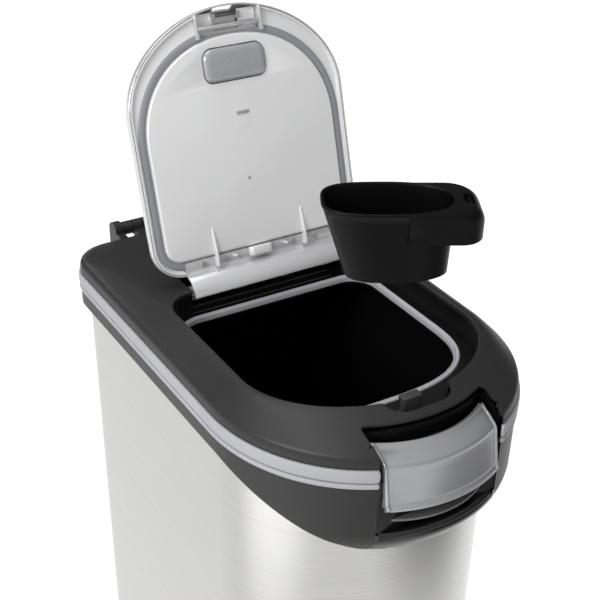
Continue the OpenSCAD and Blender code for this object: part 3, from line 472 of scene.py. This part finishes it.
def build_collar():
    behind = front_plate(2.8, BLOCK_HW, BLOCK_Y, -58, -0.6)
    notch = block((-NOTCH_HW, -CAN_D - 20, SEAT_LOW), (NOTCH_HW, SEAT_Y, 1))
    lip_room = strip(can, [(-4, -66), (9.5, -66), (9.5, SEAT_LOW + 0.1),
                           (-4, SEAT_LOW + 0.1)], front_part(NOTCH_HW))
    collar = make("collar_ring", collar_shape(), M["black_plastic"], "root", ["collar"],
                  plus=[behind], minus=[notch, lip_room], bevel=0.7)
    collar.data.materials.append(M["gloss_black"])
    for face in collar.data.polygons:
        spot = face.center / MM
        if abs(spot.x) < NOTCH_HW + 0.5 and spot.y - BACK < -425:
            face.material_index = 1
    lip = [(3.3, -65.9), (2.0, -63), (1.5, -60), (1.7, -57.4), (2.4, -55.4), (3.9, -53.8), (6.1, -53.1),
           (9.0, -53),
           (14.5, -53), (14.5, -57.5), (9.4, -57.6), (9.4, -65.9)]
    make("collar_lip", strip(can, lip, front_part(NOTCH_HW)), M["gloss_black"], "root",
         sharp=50)
    # Finger shelf under the clamp; its grey colour is painted sheen on black plastic.
    ring = []
    for k in range(41):
        x = -47 + 94 * k / 40
        ring.append((x, -446.5 + 88.6 - math.sqrt(88.6 ** 2 - x * x)))
    shelf = ring + [(47, SEAT_Y + 0.5), (-47, SEAT_Y + 0.5)]
    make("finger_shelf", loft([at_height(shelf, -45.2), at_height(shelf, -43)]), M["shelf_painted_sheen"], "root",
         bevel=0.5)
    lower = [(2.6, -5.4), (0.7, -5.4), (0.1, -4.9), (-0.25, -4.0), (-0.3, -3.0), (-0.25, -2.0), (0.1, -1.1),
             (0.7, -0.6), (2.6, -0.6)]
    make("lower_band", strip(can, lower, not_front(NOTCH_HW - 1), 1.2), M["grey_seal"], "root",
         ["collar_seal"], sharp=60)


# ---------------------------------------------------------------- cover


def dome_rings(grow_down):
    """Rings of the cover's upper surface from its outer edge to the recess, lowered for the inside."""
    first, last = can(4.9 + grow_down), recess(1.2 + grow_down)
    rings = []
    for k in range(1, 27):
        share = k / 26
        ring = []
        for a, b in zip(first, last):
            reach = math.dist(a, b)
            early = max(0.6, 1 - 0.4 * (reach - 30) / 130)
            rise = math.sin(math.radians(90 * share ** early))
            front = min(max((-330 - a[1]) / 90, 0), 1)
            rise += front * front * (3 - 2 * front) * 0.75 * (share - rise)
            z = 24.8 + (CREST_Z - 24.8) * rise - grow_down
            ring.append((a[0] + (b[0] - a[0]) * share, a[1] + (b[1] - a[1]) * share, z))
        rings.append(ring)
    return rings


def notch_plan():
    """Plan of the clamp's notch in the cover: an arc at its back, with small rounded corners."""
    radius, back, corner = 132.0, -418.4, 3.5
    flat = NOTCH_HW - corner
    arc = [(x, back + radius - math.sqrt(radius ** 2 - x * x)) for x in (flat * (k / 24 - 1) for k in range(49))]
    left = [(-NOTCH_HW, -480)]
    for k in range(8):
        a = math.radians(180 - 78 * k / 7)
        left.append((-flat + corner * math.cos(a), arc[0][1] - corner + corner * math.sin(a)))
    return left + arc[1:-1] + [(-x, y) for x, y in reversed(left)]


def pocket_plan(grow):
    """Plan of the pocket in front of the catch."""
    points = []
    for k in range(41):
        a = math.radians(180 + 180 * k / 40)
        points.append(((33 + grow) * signed_power(math.cos(a), 0.5), -372 - (39 + grow) * abs(math.sin(a)) ** 0.5))
    return points


def prism(points, low, high):
    return loft([at_height(points, low), at_height(points, high)])


def build_cover():
    outside = [(2.7, 1.2), (2.7, 12.5), (1.9, 12.6), (1.6, 13.3), (1.7, 18.0), (2.0, 20.8), (2.6, 22.6),
               (3.6, 23.9),
               (4.9, 24.8)]
    inside = [(7.4, 20.5), (5.4, 18.0), (5.2, 1.2)]
    rings = [at_height(can(inset), z) for inset, z in outside] + dome_rings(0)
    rings += [at_height(recess(grow), z) for grow, z in ((0.5, 41.05), (0.1, 40.5), (0, 39.8), (0, 37.1),
                                                         (2.4, 37.1))]
    rings += dome_rings(2.6)[:-1][::-1]
    rings += [at_height(can(inset), z) for inset, z in inside]
    cuts = [prism(notch_plan(), -2, 60), rod((-81, LID_PIN_Y, LID_PIN_Z),
                                             (81, LID_PIN_Y, LID_PIN_Z), 21.4, 96),
            prism(pocket_plan(0), 13.5, 60)]
    make("cover_skin", loft(rings, loop=True), M["cover_plastic"], "cover", ["cover_dome"],
         minus=cuts, bevel=0.45)
    upper = [(2.6, 0.6), (0.9, 0.6), (0.2, 1.0), (-0.2, 2.0), (-0.45, 4.5), (-0.45, 8.5), (-0.2, 11.0),
             (0.2, 12.0),
             (0.9, 12.3), (2.6, 12.3)]
    make("upper_band", strip(can, upper, not_front(NOTCH_HW - 1), 1.6), M["grey_seal"], "cover",
         ["cover_seal"], sharp=60)
    seal = [(5, 9.35), (5, 13.2), (4.7, 14.4), (4.0, 14.9), (3.3, 15.0), (2.7, 14.6), (2.4, 14.1),
            (2.0, 13.9),
            (1.5, 14.2), (1.1, 14.7), (0.6, 14.6), (0.2, 14.0), (0, 13.2), (0, 9.35)]
    make("mouth_seal", strip(mouth, seal), M["grey_seal"], "cover", ["lid_seal"],
         minus=[rod((-85, LID_PIN_Y, LID_PIN_Z), (85, LID_PIN_Y, LID_PIN_Z), 21.4, 96)], sharp=60)
    post = block((-9, -393.5, 15), (9, -387.5, 35.5))
    nose = block((-9, -392, 31.5), (9, -384.5, 35.5))
    foot = block((-15, -397.5, 13.5), (15, -379.5, 15.5))
    make("catch_block", post, M["catch_plastic"], "cover", ["lid_catch"], plus=[nose, foot],
         bevel=0.8)
    for number, angle in enumerate((268, 292)):
        a = math.radians(angle)
        y, z = LID_PIN_Y + 21.4 * math.cos(a), LID_PIN_Z + 21.4 * math.sin(a)
        make(f"trough_rib_{number}", rod((-79, y, z), (79, y, z), 0.8, 20), M["trough_brown"], "cover")


# ---------------------------------------------------------------- lid


def lid_mixed(inset, share, z):
    centre = (LID[1] + LID[2]) / 2
    return [(x * (1 - share), y + (centre - y) * share, z) for x, y in lid_line(inset)]


def pocket_ring(hw, hh, radius, z):
    """Ring of the finger pocket, arched at its front."""
    ring = []
    for x, y in rounded_rect(hw, hh, radius, 10):
        arch = 3.0 * (1 - (x / hw) ** 2) if y < 0 else 0
        ring.append((x, -344.5 + y - arch, z))
    return ring


def build_latch():
    """Rail, cheeks and slider of the latch in the front of the lid."""
    make("latch_rod", rod((-31.5, -377.5, 22.1),
                          (31.5, -377.5, 22.1), 2.4, 40), M["steel_pin"], "lid",
         ["latch_rail"], at=on_lid, bevel=0.4)
    for number, x in enumerate((-32, 32)):
        side = [(-369, 19.4), (-369, 27), (-391, 27), (-391, 21.4), (-388, 19.4)]
        cheek = loft([[(x - 1.4, y, z) for y, z in side], [(x + 1.4, y, z) for y, z in side]])
        make(f"latch_cheek_{number}", cheek, M["silver_plastic"], "lid", at=on_lid, bevel=0.5)
    slot = block((-12.8, -396, 20), (12.8, -374, 30))
    make("latch_floor", block((-31, -390, 27.6),
                              (31, -370, 28.6)), M["liner_plastic"], "lid",
         at=on_lid, minus=[slot], bevel=0.2)
    bar = block((-14, -388.6, 24.6), (14, -382.6, 27.4))
    inside = block((-10.6, -390, 20), (10.6, -385.0, 30))
    tab = block((-12, -360, 27), (12, -357.5, 36))
    tongue = block((-12, -384, 31), (12, -357.5, 33))
    stem = block((-12, -384, 27), (12, -382.4, 33))
    make("latch_bar", bar, M["steel_pin"], "latch", ["latch_slider"], at=on_lid, minus=[inside],
         plus=[stem, tongue, tab], bevel=0.4)


def build_panel_marks():
    """Small moulding marks in the middle of the lid's panel. The slot is a raised block in darker grey, whose colour
    is painted shade of a recessed slot.
    """
    # Darker grey block: painted shade of the slot's recess.
    make("panel_slot", block((-5.2, -302.6, 20.2),
                             (7.4, -299.6, 21.4)), M["cup_plastic"], "lid",
         at=on_lid, bevel=0.35)
    pad = [[(x, y - 291.4, z) for x, y in rounded_rect(hw, hh, 1, 4)]
           for hw, hh, z in ((8.7, 5.3, 21.2), (8.7, 5.3, 20.9), (8.3, 4.9, 20.85))]
    make("panel_pad", loft(pad), M["liner_plastic"], "lid", at=on_lid)
    make("panel_gate", rod((-1.9, -241.7, 21.3), (-1.9, -241.7, 20.4), 1.5, 20), M["cup_plastic"], "lid",
         at=on_lid, bevel=0.3)


def build_lid():
    crown = [0, 0.08, 0.2, 0.35, 0.5, 0.7, 0.9, 0.985]
    top = [lid_mixed(8.5, s, LID_TOP + 4.5 * math.sin(math.radians(90 * s))) for s in crown]
    under = [lid_mixed(8.5, s, LID_TOP - 1.6 + 4.5 * math.sin(math.radians(90 * s))) for s in crown]
    wall_in = [(8.5, 37.9), (7.2, 37.3), (6.2, 36.2), (2.0, 28.6), (1.6, 27.4), (1.6, 22.0), (1.45, 21.3),
               (1.1, 21.0)]
    wall_out = [(0.6, 21.0), (0.2, 21.3), (0, 21.9), (0, 27.6), (0.35, 28.9), (4.7, 36.8), (5.7, 38.2),
                (7.0, 39.1)]
    rings = under[:0:-1] + [at_height(lid_line(i), z) for i, z in wall_in + wall_out] + top
    hole = loft([pocket_ring(29.8, 12.8, 7.2, 30), pocket_ring(29.8, 12.8, 7.2, 60)])
    leaf_slot = block((-APRON_HW - 0.5, LID[1] - 2, 20), (APRON_HW + 0.5, LID[1] + 1, LEAF_TOP + 0.3))
    catch_room = block((-9.6, -393.8, 20), (9.6, -380, 36.2))
    make("lid_cap", loft(rings), M["silver_plastic"], "lid", ["lid_shell"], at=on_lid,
         minus=[hole, leaf_slot, catch_room], bevel=0.3)
    rings = [at_height(lid_line(i), z) for i, z in ((1.9, 26), (1.9, 21.6), (2.2, 21.2), (3.4, 21.2),
                                                    (3.8, 21.6),
                                                    (3.9, 23.6), (4.6, 24.2))]
    rings += [at_height(panel(i), z) for i, z in ((-1.4, 24.2), (-0.7, 23.8), (-0.3, 22.2), (0, 21.5),
                                                  (0.6, 21.1),
                                                  (1.6, 21))]
    latch_room = block((-31, -400, 12), (31, -371.5, 29))
    leaf_room = block((-APRON_HW - 0.5, LEAF_FRONT - 0.5, 18), (APRON_HW + 0.5, -160, 32))
    cup_room = loft([pocket_ring(31.7, 14.7, 8.8, 15), pocket_ring(31.7, 14.7, 8.8, 40)])
    make("lid_panel", loft(rings), M["liner_plastic"], "lid", ["lid_liner"], at=on_lid,
         minus=[latch_room, leaf_room, cup_room], bevel=0.35)
    gasket = [(-1.3, 24.3), (-1.3, 23.4), (-1.8, 22.9), (-7.4, 22.9), (-7.9, 23.4), (-7.9, 24.3)]
    make("lid_gasket", strip(panel, gasket), M["gasket_grey"], "lid", at=on_lid,
         minus=[latch_room, leaf_room, cup_room], sharp=50)
    build_latch()
    build_panel_marks()
    cup_out = [(25.5, 8.9, 5.0, 17.6), (28.4, 11.6, 6.2, 17.9), (29.8, 12.9, 7.2, 18.6),
               (30.7, 13.7, 7.8, 20.0),
               (30.9, 13.9, 8.0, 21.6), (30.9, 13.9, 8.0, 37.6)]
    cup_in = [(29.0, 12.0, 6.6, 37.6), (29.0, 12.0, 6.6, 22.0), (27.4, 10.6, 5.6, 20.0),
              (25.0, 8.4, 4.6, 19.6)]
    rings = [pocket_ring(*r) for r in cup_out + cup_in]
    make("pocket_cup", loft(rings), M["cup_plastic"], "lid", at=on_lid, sharp=40)
    for number, x in enumerate((-47, 47)):
        side = [(-206, 21.3), (-200, 19.8), (-184, 17.4), (-173, 16.6), (-168.5, 17.2), (-168.5, 24.5),
                (-206, 24.5)]
        fin = loft([[(x - 0.9, y, z) for y, z in side], [(x + 0.9, y, z) for y, z in side]])
        make(f"gusset_{number}", fin, M["liner_plastic"], "lid", at=on_lid, bevel=0.35)
    hood = [(-13, 23), (-13, 18.4), (-10.5, 16.4), (7.5, 16.4), (10, 18.4), (10, 23)]
    make("hinge_box", loft([[(x, -178.5, z) for x, z in hood], [(x, -170.5, z) for x, z in hood]]),
         M["liner_plastic"], "lid", at=on_lid, bevel=0.5)
    for number, x in enumerate((-28, 26)):
        make(f"hinge_stud_{number}", rod((x, -174.5, 25),
                                         (x, -174.5, 17.6), 1.3, 24), M["liner_plastic"], "lid",
             at=on_lid, bevel=0.3)


def apron_section():
    def around(radius, angle):
        a = math.radians(angle)
        return (LID_PIN_Y + radius * math.cos(a), LID_PIN_Z + radius * math.sin(a))

    outer = [around(APRON_R, 272 - 76 * k / 24) for k in range(25)]
    inner = [around(APRON_R - 1.5, 188 + 84 * k / 24) for k in range(25)]
    return outer + [(-169, 24.3), (-171, 24.05), (LEAF_FRONT, 24), (LEAF_FRONT, LEAF_TOP),
                    (-166.5, LEAF_TOP)] + inner


def build_hinge():
    section = apron_section()
    shape = loft([[(x, y, z) for y, z in section] for x in (-APRON_HW, APRON_HW)])
    make("hinge_apron", shape, M["silver_plastic"], "lid", ["lid_hinge"], at=on_lid, bevel=0.55)
    knuckles = []
    for x in (-72, -24, 24, 72):
        knuckles.append(rod((x - 5, LID_PIN_Y, LID_PIN_Z), (x + 5, LID_PIN_Y, LID_PIN_Z), 7))
        knuckles.append(block((x - 2, LID_PIN_Y - 19, LID_PIN_Z - 7), (x + 2, LID_PIN_Y - 4, LEAF_TOP)))
    make("hinge_knuckles", joined(*knuckles), M["silver_plastic"], "lid", at=on_lid, bevel=0.4)


# ---------------------------------------------------------------- clamp


def clamp_point(x, radius, z):
    return (x, CLAMP_AXIS_Y - math.sqrt(radius ** 2 - x * x), z)


def build_clamp():
    """Curved clamp plate with a raised bead round it and walls turned back at its ends."""
    profile = [(98.2, 21.2), (98.6, 22.4), (99.6, 23.2), (100.8, 23.2), (101.6, 22.5), (102.0, 21.7),
               (106, 19.9),
               (110, 17.5), (113.4, 15.3), (115.2, 13.8), (116.2, 12.2), (116.9, 9.5), (118, 3),
               (119.4, -5), (120.8, -13),
               (121.7, -19.4), (122.1, -21.6), (123.4, -22.6), (124.3, -24.0), (124.5, -25.6), (124.0, -26.9),
               (122.8, -27.6)]
    edge = [55, 54.9, 54.5, 53.9, 53.2, 52.7, 52.3, 51.8]
    across = [-x for x in edge] + [-50 + 100 * k / 40 for k in range(41)] + edge[::-1]

    def bead(x, k):
        rises = {55: 0.3, 54.9: 0.9, 54.5: 1.4, 53.9: 1.6, 53.2: 1.4, 52.7: 0.8, 52.3: 0.1, 51.8: -0.2}
        return rises.get(abs(x), 0.0) if 4 <= k <= 18 else 0.0

    outer = [[clamp_point(x, r + bead(x, k), z) for x in across] for k, (r, z) in enumerate(profile)]
    inner = [[clamp_point(x, r - 2.3, min(z, 20.2) if k < 7 else z) for x in across]
             for k, (r, z) in enumerate(profile)]
    verts = [p for row in outer + inner for p in row]
    wide, tall = len(across), len(profile)
    half = wide * tall
    faces = []
    for k in range(tall - 1):
        for i in range(wide - 1):
            a = k * wide + i
            faces.append((a, a + 1, a + wide + 1, a + wide))
            faces.append((half + a, half + a + wide, half + a + wide + 1, half + a + 1))
        for i in (0, wide - 1):
            a = k * wide + i
            faces.append((a, a + wide, half + a + wide, half + a))
    for i in range(wide - 1):
        faces.append((i, i + 1, half + i + 1, half + i))
        a = (tall - 1) * wide + i
        faces.append((a, a + 1, half + a + 1, half + a))
    make("clamp_plate", (verts, faces), M["clamp_paint"], "clamp", ["clamp_handle"], sharp=48)
    ends = []
    for side in (-1, 1):
        x0, x1 = sorted((side * 52.6, side * 54.6))
        line = [(r - 1.0, z) for r, z in profile[3:20]]
        front = [clamp_point(x0, r, z)[1:] for r, z in line]
        wall = front + [(-433.8, -26.5), (-433.8, 3.0), (-420, 14), (-411.5, 20.5)]
        ends.append(loft([[(x0, y, z) for y, z in wall], [(x1, y, z) for y, z in wall]]))
    make("clamp_ends", joined(*ends), M["clamp_paint"], "clamp", bevel=0.4)


# ---------------------------------------------------------------- scoop


def scoop_ring(share, inset, z, count=96):
    ring = []
    for i in range(count):
        a = 2 * math.pi * i / count
        right = math.cos(a) > 0
        end = SCOOP_HL - inset - (2 if right else 18) * share
        power = 2.3 if right else 3.2
        ring.append((end * signed_power(math.cos(a), 2 / power),
                     (SCOOP_HW - inset - 6 * share) * signed_power(math.sin(a), 2 / power), z))
    return ring


def tab_ring(inset, z, bend, side_in, root=12):
    """Plan of the hooded handle at one height, its end drawn back by the bend."""
    end, side = SCOOP_HL + TAB_LEN - inset - bend, SCOOP_HW - inset - side_in
    corner = max(16 - inset - bend * 0.3, 4)
    ring = [(root, side, z), (root, -side, z), (24, -side, z)]
    for turn in (-1, 1):
        for k in range(13):
            a = math.radians((-90 if turn < 0 else 0) + 90 * k / 12)
            ring.append((end - corner + corner * math.cos(a), turn * (side - corner) + corner * math.sin(a), z))
    ring.append((24, side, z))
    return ring


def build_scoop():
    outer = [(1, 5, -SCOOP_H), (1, 2.6, -SCOOP_H + 0.5), (1, 1.0, -SCOOP_H + 1.8), (1, 0.2, -SCOOP_H + 4)]
    outer += [(0.9 - 0.9 * k / 10, 0, -SCOOP_H * (0.9 - 0.9 * k / 10) - 2.8) for k in range(10)]
    outer += [(0.0, 0.0, -2.8), (0, -0.7, -2.2), (0, -0.8, -0.8), (0, -0.4, -0.1), (0, 0.2, 0.1)]
    inner = [(0, 1.0, 0), (0, 1.4, -0.6), (0, 1.6, -2)]
    inner += [(0.1 + 0.8 * k / 8, 1.8, -SCOOP_H * (0.1 + 0.8 * k / 8)) for k in range(9)]
    inner += [(1, 2.6, -SCOOP_H + 3), (1, 5, -SCOOP_H + 1.9)]
    cup = loft([scoop_ring(share, inset, z) for share, inset, z in outer + inner])
    make("scoop_cup", cup, M["scoop_plastic"], "scoop", ["scoop"], at=on_scoop, sharp=50)
    bend_r, skirt = 11.0, 22.0
    heights = [-skirt, -19, -15, -bend_r] + [-bend_r * (1 - math.sin(math.radians(90 * k / 8))) for k in range(1, 9)]

    def bend(z):
        return bend_r - math.sqrt(max(bend_r ** 2 - (bend_r + z) ** 2, 0)) if z > -bend_r else 0

    def side_in(z):
        return 1.4 * (1 + z / 2.5) ** 2 if z > -2.5 else 0

    hood = loft([tab_ring(0, z, bend(z), side_in(z)) for z in heights])
    hollow = loft([tab_ring(2, z - 2, bend(z), side_in(z), 6) for z in [-skirt - 3] + heights[1:]])
    cup_body = loft([scoop_ring(1, 0.6, -SCOOP_H), scoop_ring(0.45, 0.6, -SCOOP_H * 0.45), scoop_ring(0, 0.6, 3)])
    slot_plan = [(SCOOP_HL + 8.6 + x, y) for x, y in rounded_rect(3.6, 7.2, 2.2, 6)]
    make("scoop_handle", hood, M["scoop_plastic"], "scoop", at=on_scoop,
         minus=[hollow, cup_body, prism(slot_plan, -8, 4)], bevel=0.4, sharp=40)


# ---------------------------------------------------------------- carried-over CAD nodes


def paint_cad_nodes():
    """Every CAD node that still shows takes the material of its slot in the record, except the clamp's spring, pin,
    hook and screws, which take a near-black steel as painted shade under the clamp.
    """
    for part in frame["record"]["subparts"]:
        node = frame["nodes"][part["node"]]
        node.data.materials.clear()
        under_clamp_shade = part["node"] in ("clamp_spring", "clamp_pin", "clamp_hook", "clamp_screws")
        node.data.materials.append(M["clamp_steel_painted_shade"] if under_clamp_shade else M[part["material_slot"]])


# ---------------------------------------------------------------- studio


def area_light(name, at, aim, size, power, colour=(1, 1, 1)):
    data = bpy.data.lights.new(name, "AREA")
    data.shape = "RECTANGLE"
    data.size, data.size_y = size
    data.energy = power
    data.color = colour
    light = bpy.data.objects.new(name, data)
    bpy.context.scene.collection.objects.link(light)
    light.location = at
    light.rotation_mode = "QUATERNION"
    light.rotation_quaternion = (Vector(aim) - Vector(at)).to_track_quat("-Z", "Y")


def smooth_range(tree, value, span, low, high):
    """A smooth step of a value: low before the span, high after it."""
    ranged = tree.nodes.new("ShaderNodeMapRange")
    ranged.interpolation_type = "SMOOTHSTEP"
    for name, number in zip(("From Min", "From Max", "To Min", "To Max"), (*span, low, high)):
        ranged.inputs[name].default_value = number
    tree.links.new(value, ranged.inputs["Value"])
    return ranged.outputs["Result"]


def sky_node(tree, direction, dark, light, span):
    """Brightness that rises from dark to light along a direction, between the two ends of span."""
    spot = tree.nodes.new("ShaderNodeTexCoord")
    along = tree.nodes.new("ShaderNodeVectorMath")
    along.operation = "DOT_PRODUCT"
    along.inputs[1].default_value = Vector(direction).normalized()
    tree.links.new(spot.outputs["Generated"], along.inputs[0])
    return smooth_range(tree, along.outputs["Value"], span, dark, light)


def patch(tree, spot, middle, near, far, inside):
    """A round patch of the floor: its light is inside at the middle and one beyond the far radius."""
    away = tree.nodes.new("ShaderNodeVectorMath")
    away.operation = "DISTANCE"
    away.inputs[1].default_value = middle
    tree.links.new(spot.outputs["Object"], away.inputs[0])
    return smooth_range(tree, away.outputs["Value"], (near, far), inside, 1.0)


def build_floor():
    """White lit paper, with two dark cloths and a lit card out of view that the steel mirrors."""
    mesh = bpy.data.meshes.new("floor")
    mesh.from_pydata([(-8, -8, 0), (8, -8, 0), (8, 8, 0), (-8, 8, 0)], [], [(0, 1, 2, 3)])
    floor = bpy.data.objects.new("floor", mesh)
    bpy.context.scene.collection.objects.link(floor)
    material, tree, shader = node_material("floor_paper", (0.2, 0.2, 0.2), 0.9)
    tint(tree, noise_node(tree, 3), shader, (0.195, 0.195, 0.195), (0.205, 0.205, 0.205))
    shader.inputs["Specular IOR Level"].default_value = 0.0
    shader.inputs["Emission Color"].default_value = (1, 1, 1, 1)
    spot = tree.nodes.new("ShaderNodeTexCoord")
    cloths = (patch(tree, spot, (0.85, -0.95, 0), 0.45, 0.9, 0.02), patch(tree, spot, (-0.4, -1.2, 0), 0.15, 0.5, 0.1),
              patch(tree, spot, (-0.95, -0.35, 0), 0.25, 0.65, 1.8))
    first, second = tree.nodes.new("ShaderNodeMath"), tree.nodes.new("ShaderNodeMath")
    for node, a, b in ((first, cloths[0], cloths[1]), (second, first.outputs["Value"], cloths[2])):
        node.operation = "MULTIPLY"
        tree.links.new(a, node.inputs[0])
        tree.links.new(b, node.inputs[1])
    tree.links.new(second.outputs["Value"], shader.inputs["Emission Strength"])
    mesh.materials.append(material)


def build_studio():
    build_floor()
    world = bpy.data.worlds.new("studio")
    world.use_nodes = True
    tree = world.node_tree
    sky = sky_node(tree, (-0.55, -0.3, 0.7), 0.14, 0.85, (-0.35, 0.85))
    tree.links.new(sky, tree.nodes["Background"].inputs["Strength"])
    tree.nodes["Background"].inputs["Color"].default_value = (1, 1, 1, 1)
    bpy.context.scene.world = world
    area_light("key", (-1.9, -0.7, 1.9), (0, 0, 0.6), (1.0, 1.0), 42)
    area_light("top", (-0.3, 0.2, 2.4), (0, 0, 0.6), (1.4, 1.0), 14)
    bpy.context.scene.view_settings.view_transform = "Standard"


def build_camera():
    """Camera at the viewing angle, with its lens off centre as the framing needs."""
    azimuth, elevation = math.radians(-29.536), math.radians(33.696)
    back = Vector((math.sin(azimuth) * math.cos(elevation), -math.cos(azimuth) * math.cos(elevation),
                   math.sin(elevation)))
    right = Vector((math.cos(azimuth), math.sin(azimuth), 0))
    up = back.cross(right)
    data = bpy.data.cameras.new("view")
    data.lens, data.sensor_width = 70.07, 36.0
    data.shift_x, data.shift_y = 0.0705, 0.1315
    camera = bpy.data.objects.new("view", data)
    bpy.context.scene.collection.objects.link(camera)
    camera.matrix_world = Matrix.Translation(place((-486.64, -999.49, 564.37))) @ Matrix(
        (right, up, back)).transposed().to_4x4()
    bpy.context.scene.camera = camera


paint_cad_nodes()
build_body()
build_collar()
build_cover()
build_lid()
build_hinge()
build_clamp()
build_scoop()
build_studio()
build_camera()

bpy.context.view_layer.update()
